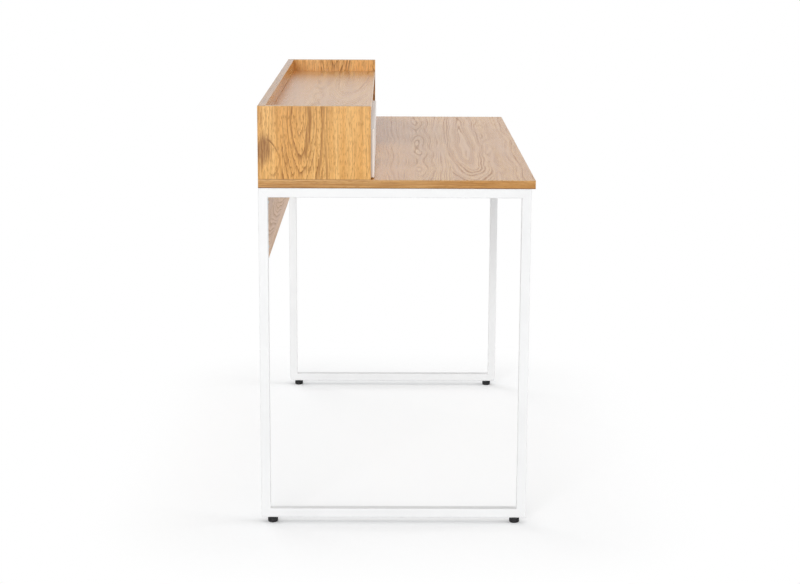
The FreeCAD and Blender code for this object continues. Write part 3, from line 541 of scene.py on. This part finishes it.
def white_coat():
    """White powder coat on the steel: orange peel, and a faint line where the mitres are welded."""
    material, wires, shader, place = new_material("white_powder_coat")
    skin = use_group(wires, SKIN, {"Place": place, "Peel": 900.0, "Broad": 7.0})
    low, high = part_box("left_front_leg")
    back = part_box("left_rear_leg")[1]
    middle = (0, (low.y + back.y) / 2, (low.z + high.z) / 2)
    half = (0, (back.y - low.y) / 2, (high.z - low.z) / 2)
    offset = wires.shift("ABSOLUTE", wires.shift("SUBTRACT", place, middle))
    inside = wires.parts(wires.shift("SUBTRACT", half, offset))
    apart = wires.calc("ABSOLUTE", wires.calc("SUBTRACT", inside[Y], inside[Z]))
    seam = wires.calc("MULTIPLY", wires.ease(apart, *SEAM_REACH),
                      wires.calc("LESS_THAN", inside[Y], high.x - low.x))
    colour = wires.tint(wires.ease(skin["Mottle"], *COLOUR_SPAN), COAT_DIM, COAT_BRIGHT)
    colour = wires.tint(wires.calc("MULTIPLY", seam, SEAM_SHARE), colour, COAT_SEAM)
    wires.put(shader.inputs["Base Color"], colour)
    wires.put(shader.inputs["Roughness"], wires.ease(skin["Mottle"], *NOISE_SPAN, *COAT_ROUGHNESS))
    height = wires.calc("MULTIPLY_ADD", seam, 1.5, skin["Height"])
    bump(wires, shader, height, COAT_RELIEF, 0.5)
    return material


def white_front():
    """White melamine of the drawer front, with its edge band warmer and lighter: partly the band's own
    tone, partly a painted warm reflection of the oak.
    """
    material, wires, shader, place = new_material("white_melamine")
    low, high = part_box("drawer_front")
    edges = use_group(wires, BOARD_EDGES,
                      {"Place": place, "Middle": (low + high) / 2, "Half": (high - low) / 2})
    skin = use_group(wires, SKIN, {"Place": place, "Peel": 1500.0, "Broad": 11.0})
    band = wires.calc("MAXIMUM", edges["X"], edges["Z"])
    colour = wires.tint(wires.ease(skin["Mottle"], *COLOUR_SPAN), FRONT_DIM, FRONT_BRIGHT)
    # The edge band's tint is partly its own tone and partly a painted warm reflection.
    colour = wires.tint(wires.calc("MULTIPLY", band, FRONT_BAND_AND_WARM_BOUNCE_SHARE), colour, FRONT_BAND_AND_WARM_BOUNCE)
    wires.put(shader.inputs["Base Color"], colour)
    wires.put(shader.inputs["Roughness"], wires.ease(skin["Mottle"], *NOISE_SPAN, *FRONT_ROUGHNESS))
    bump(wires, shader, skin["Height"], FRONT_RELIEF, 0.5)
    return material


def box_board(name, light, dark, stretch):
    """Foil on the drawer's inner boards: a pale print with a faint straight grain."""
    material, wires, shader, place = new_material(name)
    grain = wires.noise(place, stretch, 3.0)
    skin = use_group(wires, SKIN, {"Place": place, "Peel": 1200.0, "Broad": 14.0})
    colour = wires.tint(wires.ease(grain, *COLOUR_SPAN), light, dark)
    wires.put(shader.inputs["Base Color"], colour)
    wires.put(shader.inputs["Roughness"], wires.ease(skin["Mottle"], *NOISE_SPAN, *FOIL_ROUGHNESS))
    bump(wires, shader, wires.calc("ADD", grain, skin["Height"]), FOIL_RELIEF, 0.5)
    return material


def foot_plastic():
    """Black moulded plastic with a fine eroded texture and a few paler scuffs."""
    material, wires, shader, place = new_material("black_foot_plastic")
    skin = use_group(wires, SKIN, {"Place": place, "Peel": 2200.0, "Broad": 130.0})
    colour = wires.tint(wires.ease(skin["Mottle"], 0.4, 0.75), PLASTIC_BLACK, PLASTIC_SCUFF)
    wires.put(shader.inputs["Base Color"], colour)
    roughness = wires.ease(skin["Mottle"], *NOISE_SPAN, *PLASTIC_ROUGHNESS)
    wires.put(shader.inputs["Roughness"], roughness)
    shader.inputs["Specular IOR Level"].default_value = PLASTIC_GLOSS
    bump(wires, shader, skin["Height"], PLASTIC_RELIEF, 0.6)
    return material


def beech():
    """Beech dowels: pale wood with short darker flecks."""
    material, wires, shader, place = new_material("beech_dowel")
    fleck = wires.noise(place, (500.0, 500.0, 500.0), 2.0)
    grain = wires.noise(place, (140.0, 140.0, 140.0), 2.0)
    colour = wires.tint(grain, BEECH_DIM, BEECH_PALE)
    colour = wires.tint(wires.ease(fleck, 0.58, 0.70, 0.0, 0.5), colour, BEECH_FLECK)
    wires.put(shader.inputs["Base Color"], colour)
    wires.put(shader.inputs["Roughness"], wires.ease(grain, *NOISE_SPAN, *BEECH_ROUGHNESS))
    bump(wires, shader, fleck, BEECH_RELIEF, 0.5)
    return material


def plated_steel(name, low, high, roughness, cells, rolling):
    """Zinc-plated steel between two greys, with crystal patches and rolling lines."""
    material, wires, shader, place = new_material(name)
    plate = use_group(wires, PLATING, {"Place": place, "Cells": cells, "Rolling": rolling})
    patches = wires.calc("MULTIPLY", plate["Patch"], 0.4)
    share = wires.calc("MULTIPLY_ADD", plate["Lines"], 0.6, patches)
    wires.put(shader.inputs["Base Color"], wires.tint(share, low, high))
    wires.put(shader.inputs["Roughness"],
              wires.ease(plate["Lines"], *NOISE_SPAN, roughness - 0.06, roughness + 0.08))
    shader.inputs["Metallic"].default_value = 1.0
    bump(wires, shader, plate["Lines"], STEEL_RELIEF, 0.4)
    return material


# Forms made here

def sheet_faces(rows, columns):
    """Quads of a grid of points that closes on itself along its columns."""
    row = np.arange(rows - 1)[:, None] * columns
    here = np.arange(columns)[None, :]
    beside = (here + 1) % columns
    above = row + columns
    quads = np.stack([row + here, row + beside, above + beside, above + here], axis=-1)
    return quads.reshape(-1, 4)


def end_faces(ring, pole):
    """Triangles from a ring of points to one point in its middle."""
    return np.stack([np.full(len(ring), pole), np.roll(ring, -1), ring], axis=-1)


def closed_mesh(name, tubes):
    """One mesh of closed tubes: each a (rows, columns, 3) grid with a pole in the middle of each end."""
    points, faces, start = [], [], 0
    for tube in tubes:
        rows, columns, _ = tube.shape
        poles = np.stack([tube[0].mean(axis=0), tube[-1].mean(axis=0)])
        first = np.arange(columns)
        last = first + (rows - 1) * columns
        count = rows * columns
        points += [tube.reshape(-1, 3), poles]
        faces += (sheet_faces(rows, columns) + start).tolist()
        faces += (end_faces(first, count) + start).tolist()
        faces += (end_faces(last[::-1], count + 1) + start).tolist()
        start += count + 2
    mesh = bpy.data.meshes.new(name)
    mesh.from_pydata(np.concatenate(points), [], faces)
    mesh.validate()
    mesh.shade_smooth()
    mesh.set_sharp_from_angle(angle=SHARP_ANGLE)
    piece = bpy.data.objects.new(name, mesh)
    scene.collection.objects.link(piece)
    return piece


def place_piece(piece, material, body):
    """Gives a piece its finish and the body that it rides on."""
    piece.data.materials.append(material)
    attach(piece, body)


def smooth(value, start, end):
    """0 before start and 1 after end, with a smooth step between them."""
    share = np.clip((value - start) / (end - start), 0.0, 1.0)
    return share * share * (3.0 - 2.0 * share)


def round_grid(start, along, radius, height, angle):
    """Points at a radius and angle round a line, and at a height along it."""
    along = np.array(along, dtype=float)
    aside = np.cross(along, (0.0, 0.0, 1.0) if abs(along[2]) < 0.5 else (1.0, 0.0, 0.0))
    aside /= np.linalg.norm(aside)
    spoke = np.cos(angle)[..., None] * aside + np.sin(angle)[..., None] * np.cross(along, aside)
    return np.array(start) + height[..., None] * along + radius[..., None] * spoke


def thread(height, angle, pitch, depth):
    """How deep a thread cuts: a triangle wave of height over pitch less the share of a turn."""
    phase = (height / pitch - angle / (2.0 * np.pi)) % 1.0
    return depth * np.abs(2.0 * phase - 1.0)


def cross_recess(radius, angle, size):
    """How far a driver's cross is sunk below a head: two tapered arms that cross in the middle."""
    x, y = np.abs(radius * np.cos(angle)), np.abs(radius * np.sin(angle))
    narrow, wide = np.minimum(x, y), np.maximum(x, y)
    arms = smooth(narrow, 0.19 * size, 0.11 * size) * smooth(wide, 0.62 * size, 0.50 * size)
    return arms * (0.55 - 0.35 * wide / size) * size


def screw(start, along, head_radius, head_height, radius, length, pitch):
    """A cross-recessed screw as one grid, from the middle of its head to its point.

    A pan head is half an ellipse with a height above its seat at the start. A head height of 0
    makes a countersunk one, flat at the start, with a cone down to the shank. The shank carries a
    thread that dies out under the head and towards the point.
    """
    face = np.linspace(0.05, 1.0, HEAD_ROWS)
    if head_height > 0.0:
        head_r = head_radius * np.sin(face * np.pi / 2)
        head_h = -head_height * np.cos(face * np.pi / 2)
        neck = 0.0
    else:
        head_r = head_radius * face
        head_h = np.zeros_like(face)
        neck = head_radius - radius
    tip = POINT_REACH * radius
    shank_h = np.arange(neck, length - tip, pitch / 6.0)
    point_h = np.linspace(length - tip, length, POINT_ROWS)
    point_r = radius * np.linspace(1.0, 0.08, POINT_ROWS)
    row_r = np.concatenate([head_r, np.full(len(shank_h), radius), point_r])[:, None]
    row_h = np.concatenate([head_h, shank_h, point_h])[:, None]
    in_head = (np.arange(len(row_r)) < len(face))[:, None]
    angle = np.linspace(0.0, 2.0 * np.pi, SCREW_SIDES, endpoint=False)[None, :]
    recess = np.where(in_head, cross_recess(row_r, angle, head_radius), 0.0)
    reach = smooth(row_h, neck + pitch, neck + 2.0 * pitch)
    cut = thread(row_h, angle, pitch, SCREW_THREAD * radius)
    groove = np.where(in_head, 0.0, reach * cut * row_r / radius)
    angle = np.broadcast_to(angle, recess.shape)
    return round_grid(start, along, row_r - groove, row_h + recess, angle)


def foot_thread(start, radius, length):
    """The threaded stud of a levelling foot: a bar with a thread all along it and a chamfered top."""
    height = np.arange(0.0, length + 1e-9, FOOT_PITCH / 8.0)[:, None]
    angle = np.linspace(0.0, 2.0 * np.pi, FOOT_SIDES, endpoint=False)[None, :]
    chamfer = np.clip(height - (length - FOOT_CHAMFER), 0.0, None)
    spread = radius - thread(height, angle, FOOT_PITCH, FOOT_THREAD) - chamfer
    height = np.broadcast_to(height, spread.shape)
    angle = np.broadcast_to(angle, spread.shape)
    return round_grid(start, (0, 0, 1), spread, height, angle)


def weld_bead(start, end, first, second, size):
    """A fillet weld along a line in a corner: a quarter round between two faces.

    Its reach from the corner ripples along the line as it was laid down, and shrinks to almost
    nothing at both ends.
    """
    start, end = np.array(start), np.array(end)
    first, second = np.array(first, dtype=float), np.array(second, dtype=float)
    share = np.linspace(0.0, 1.0, 64)[:, None]
    run = share * np.linalg.norm(end - start)
    ripple = np.abs(np.sin(np.pi * run / BEAD_RIPPLE))
    reach = size * (1.0 - RIPPLE_SHARE + RIPPLE_SHARE * ripple)
    reach = reach * np.sqrt(np.clip(1.0 - (2.0 * share - 1.0) ** 8, 0.002, 1.0))
    turn = np.linspace(0.0, np.pi / 2.0, 9)[None, :]
    line = start + share * (end - start) - BEAD_SUNK * (first + second)
    arc = (reach * np.cos(turn))[..., None] * first + (reach * np.sin(turn))[..., None] * second
    return np.concatenate([line[:, None, :], line[:, None, :] + arc], axis=1)


def solid_boxes(node):
    """Lowest and highest corners of each separate solid in a CAD node, found by spreading labels."""
    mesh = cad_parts[node].data
    place = np.empty(len(mesh.vertices) * 3)
    mesh.vertices.foreach_get("co", place)
    place = place.reshape(-1, 3)
    corner = np.empty(len(mesh.loops), dtype=np.int64)
    mesh.loops.foreach_get("vertex_index", corner)
    welded, same = np.unique(np.round(place, 6), axis=0, return_inverse=True)
    triangles = same.ravel()[corner].reshape(-1, 3)
    label = np.arange(len(welded))
    settled = False
    while not settled:
        lowest = label[triangles].min(axis=1)
        spread = label.copy()
        for column in range(3):
            np.minimum.at(spread, triangles[:, column], lowest)
        settled = np.array_equal(spread, label)
        label = spread
    groups = [welded[label == value] for value in np.unique(label)]
    return [(group.min(axis=0), group.max(axis=0)) for group in groups]


def screws(node, body, axis, ways, head_height, radius, pitch):
    """All screws of one CAD node, each from its own box.

    Ways gives +1 or -1 along the axis for a box. The head's radius is half the box's width, and
    the seat lies one head height in from the box's end.
    """
    grids = []
    for low, high in solid_boxes(node):
        way = ways(low, high)
        along = np.zeros(3)
        along[axis] = way
        middle = (low + high) / 2.0
        across = [other for other in range(3) if other != axis]
        start = middle.copy()
        start[axis] = (low if way > 0 else high)[axis] + way * head_height
        head_radius = (high - low)[across].max() / 2.0
        length = (high - low)[axis] - head_height
        grids.append(screw(start, along, head_radius, head_height, radius, length, pitch))
    piece = closed_mesh(node.rstrip("s") + "_set", grids)
    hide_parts(node)
    place_piece(piece, zinc, body)


# Finishes on the CAD nodes

def dress(material, *names):
    """Puts a finish on CAD nodes."""
    for name in names:
        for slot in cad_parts[name].material_slots:
            slot.material = material


def dress_oak(node, grain_axis, seed, **values):
    """Puts an oak print of its own on a board."""
    dress(oak_board(node, grain_axis, seed, **values), node)


dress_oak("desk_top", X, (0.3, 0.11, 0.0), heart=(-0.163, -0.212), edge_share=0.55, lower_share=0.85,
          backing=BACKING_FOIL, Slope=0.136, Close=0.15, Sway=0.08, **FLAT_BOARD, **ROSY_OAK_FOR_TOP_LIGHT)
dress_oak("hutch_left_side", Z, (0.0, 0.28, 0.74), heart=(0.197, 0.877), knot=(0.279, 0.813), Sway=0.03)
dress_oak("hutch_right_side", Z, (0.0, 0.41, 1.12), heart=(0.16, 0.96), Lines=1.1, **PALE_OAK_AGAINST_BOUNCE)
dress_oak("hutch_back", X, (1.7, 0.9, 0.35), edge_share=0.1, **SHADED_OAK)
dress_oak("hutch_shelf", X, (3.1, 0.57, 0.2), heart=(0.11, 0.3), Slope=0.12, **FAINT_BOARD, **ROSY_OAK_FOR_TOP_LIGHT)
dress_oak("hutch_divider", Z, (0.0, 1.3, 0.7))
# The modesty panel takes the darker copy of the oak: painted shade under the top
dress_oak("modesty_panel", X, (5.3, 0.2, 1.1), heart=(0.64, 0.2), Slope=0.12, Matt=0.25,
          **FLAT_BOARD, **SHADED_OAK)

coat = white_coat()
for side in ("left", "right"):
    dress(coat, *[side + "_" + name for name in ("front_leg", "rear_leg", "top_rail", "bottom_rail")])
dress(coat, "panel_tabs")
dress(white_front(), "drawer_front")
dress(box_board("drawer_foil", light=(0.72, 0.71, 0.69, 1), dark=(0.66, 0.65, 0.63, 1),
                stretch=(300.0, 6.0, 300.0)),
      "drawer_left_side", "drawer_right_side", "drawer_back")
dress(box_board("drawer_bottom_board", light=(0.75, 0.74, 0.72, 1), dark=(0.70, 0.69, 0.67, 1),
                stretch=(8.0, 300.0, 300.0)),
      "drawer_bottom")
plastic = foot_plastic()
zinc = plated_steel("zinc_plated_fastener", low=(0.52, 0.53, 0.55, 1), high=(0.72, 0.73, 0.75, 1),
                    roughness=0.34, cells=600.0, rolling=(500.0, 500.0, 500.0))
rolled = plated_steel("zinc_plated_runner", low=(0.56, 0.57, 0.58, 1), high=(0.74, 0.75, 0.76, 1),
                      roughness=0.36, cells=180.0, rolling=(900.0, 12.0, 900.0))
bright = plated_steel("polished_ball", low=(0.68, 0.68, 0.70, 1), high=(0.80, 0.80, 0.82, 1),
                      roughness=0.14, cells=900.0, rolling=(400.0, 400.0, 400.0))
for foot in FOOT_PLACES:
    dress(plastic, "foot_base_" + foot)
    dress(zinc, "foot_stud_" + foot)
dress(zinc, "foot_nuts", "top_screws", "modesty_screws", "hutch_screws", "hutch_cam_bolts",
      "hutch_cam_locks", "drawer_cam_bolts", "drawer_cam_locks", "drawer_back_screws",
      "drawer_bottom_screws", "runner_fixed_screws", "runner_drawer_screws")
for side in ("left", "right"):
    dress(rolled, *[side + "_runner_" + name for name in ("outer", "inner", "cage")])
    dress(bright, side + "_runner_balls")
dress(beech(), "hutch_dowels", "drawer_dowels")


# Small forms over the plain fasteners

for foot in FOOT_PLACES:
    low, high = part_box("foot_stud_" + foot)
    root = ((low.x + high.x) / 2, (low.y + high.y) / 2, low.z)
    grid = foot_thread(root, (high.x - low.x) / 2, high.z - low.z)
    stud = closed_mesh("foot_thread_" + foot, [grid])
    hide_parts("foot_stud_" + foot)
    place_piece(stud, zinc, "foot_" + foot)


def forward(low, high):
    """Every screw goes the positive way along its axis."""
    return 1


def toward(node):
    """Each screw goes along X to the middle of its node."""
    node_low, node_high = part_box(node)
    return lambda low, high: 1 if low[X] + high[X] < node_low.x + node_high.x else -1


def away(node):
    """Each screw goes along X away from the middle of its node."""
    inward = toward(node)
    return lambda low, high: -inward(low, high)


# Each set's node, body, axis and ways, then its head height, shank radius and pitch in millimetres
for node, body, axis, ways, head_height, radius, pitch in (
        ("top_screws", "desk", Z, forward, 2.8, 2.25, 1.8),
        ("modesty_screws", "desk", Y, forward, 2.4, 2.0, 1.6),
        ("hutch_screws", "desk", Z, forward, 0.0, 2.5, 2.0),
        ("drawer_back_screws", "drawer", X, toward("drawer_back_screws"), 0.0, 1.75, 1.6),
        ("drawer_bottom_screws", "drawer", Z, forward, 1.6, 1.4, 1.2),
        ("runner_fixed_screws", "desk", X, away("runner_fixed_screws"), 0.7, 1.75, 1.4),
        ("runner_drawer_screws", "drawer", X, toward("runner_drawer_screws"), 1.6, 1.75, 1.4)):
    screws(node, body, axis, ways, head_height * MM, radius * MM, pitch * MM)

beads = []
for low, high in solid_boxes("panel_tabs"):
    way = 1 if low[X] > 0 else -1
    corner_x = (high if way > 0 else low)[X]
    ends = [(corner_x, low[Y], z) for z in (low[Z] + BEAD_INSET, high[Z] - BEAD_INSET)]
    beads.append(weld_bead(ends[0], ends[1], (-way, 0, 0), (0, -1, 0), BEAD_SIZE))
place_piece(closed_mesh("tab_welds", beads), coat, "desk")


# Floor, light and camera

def seen_directly(wires):
    """1 on camera, mirror and see-through rays, and 0 on the rays that light the object."""
    path = wires.add("ShaderNodeLightPath").outputs
    seen = wires.calc("MAXIMUM", path["Is Camera Ray"], path["Is Glossy Ray"])
    return wires.calc("MAXIMUM", seen, path["Is Transmission Ray"])


def studio_floor():
    """A pale floor that keeps the shadows near the desk and fades to white further out. Its glow, as
    seen, is dimmed by ambient occlusion: a painted contact shadow.
    """
    corners = [(-FLOOR_REACH, -FLOOR_REACH, 0), (FLOOR_REACH, -FLOOR_REACH, 0),
               (FLOOR_REACH, FLOOR_REACH, 0), (-FLOOR_REACH, FLOOR_REACH, 0)]
    mesh = bpy.data.meshes.new("floor")
    mesh.from_pydata(corners, [], [(0, 1, 2, 3)])
    floor = bpy.data.objects.new("floor", mesh)
    scene.collection.objects.link(floor)
    material = bpy.data.materials.new("floor_paper")
    material.use_nodes = True
    material.node_tree.nodes.clear()
    wires = Wiring(material.node_tree)
    place = wires.add("ShaderNodeTexCoord").outputs["Object"]
    reach = (cad_box[1].x, cad_box[1].y, 0.0)
    outside = wires.shift("SUBTRACT", wires.shift("ABSOLUTE", place), reach)
    far = wires.shift("LENGTH", wires.shift("MAXIMUM", outside, (0, 0, 0)))
    far = wires.ease(far, *FLOOR_FADE)
    seen = seen_directly(wires)
    paper = wires.add("ShaderNodeBsdfDiffuse", {"Color": FLOOR_PAPER})
    # Ambient occlusion dims the floor's glow near the rails and feet: a painted contact shadow
    open_sky = wires.add("ShaderNodeAmbientOcclusion", {"Distance": PAINTED_CONTACT_SHADE_REACH}).outputs["AO"]
    strength = wires.calc("MULTIPLY", wires.calc("MULTIPLY", seen, FLOOR_GLOW), open_sky)
    glow = wires.add("ShaderNodeEmission", {"Strength": strength})
    near = wires.add("ShaderNodeAddShader", {0: paper.outputs[0], 1: glow.outputs[0]})
    white = wires.add("ShaderNodeEmission", {"Strength": 1.0})
    share = wires.calc("MULTIPLY", far, seen)
    both = wires.add("ShaderNodeMixShader", {0: share, 1: near.outputs[0], 2: white.outputs[0]})
    wires.add("ShaderNodeOutputMaterial", {"Surface": both.outputs[0]})
    mesh.materials.append(material)


def surroundings():
    """White where it is seen or mirrored, and a plain soft light everywhere else."""
    world = bpy.data.worlds.new("studio")
    scene.world = world
    world.use_nodes = True
    world.node_tree.nodes.clear()
    wires = Wiring(world.node_tree)
    strength = wires.ease(seen_directly(wires), 0.0, 1.0, AMBIENT, 1.0)
    light = wires.add("ShaderNodeBackground", {"Color": (1, 1, 1, 1), "Strength": strength})
    wires.add("ShaderNodeOutputWorld", {"Surface": light.outputs[0]})


def softbox(name, place, size, power, mirrored):
    """A square soft lamp that is turned to LAMP_AIM: seen only in mirrors, or not there either."""
    lamp = bpy.data.lights.new(name, "AREA")
    lamp.size = size
    lamp.energy = power
    holder = bpy.data.objects.new(name, lamp)
    holder.location = place
    line = Vector(LAMP_AIM) - Vector(place)
    holder.rotation_euler = line.to_track_quat("-Z", "Y").to_euler()
    holder.visible_camera = False
    holder.visible_glossy = mirrored
    scene.collection.objects.link(holder)


def camera():
    """The camera: turned down by its pitch, round by its yaw from +X and rolled about its own line."""
    data = bpy.data.cameras.new("camera")
    data.sensor_width = SENSOR_WIDTH
    data.lens = CAMERA_LENS
    holder = bpy.data.objects.new("camera", data)
    scene.collection.objects.link(holder)
    turn = (Matrix.Rotation(math.radians(CAMERA_YAW - 90.0), 4, "Z")
            @ Matrix.Rotation(math.radians(90.0 - CAMERA_PITCH), 4, "X")
            @ Matrix.Rotation(math.radians(CAMERA_ROLL), 4, "Z"))
    holder.matrix_world = Matrix.Translation(CAMERA_PLACE) @ turn
    scene.camera = holder


studio_floor()
surroundings()
for name, (place, size, power, mirrored) in LAMPS.items():
    softbox(name, place, size, power, mirrored)
camera()
scene.view_settings.view_transform = "Standard"
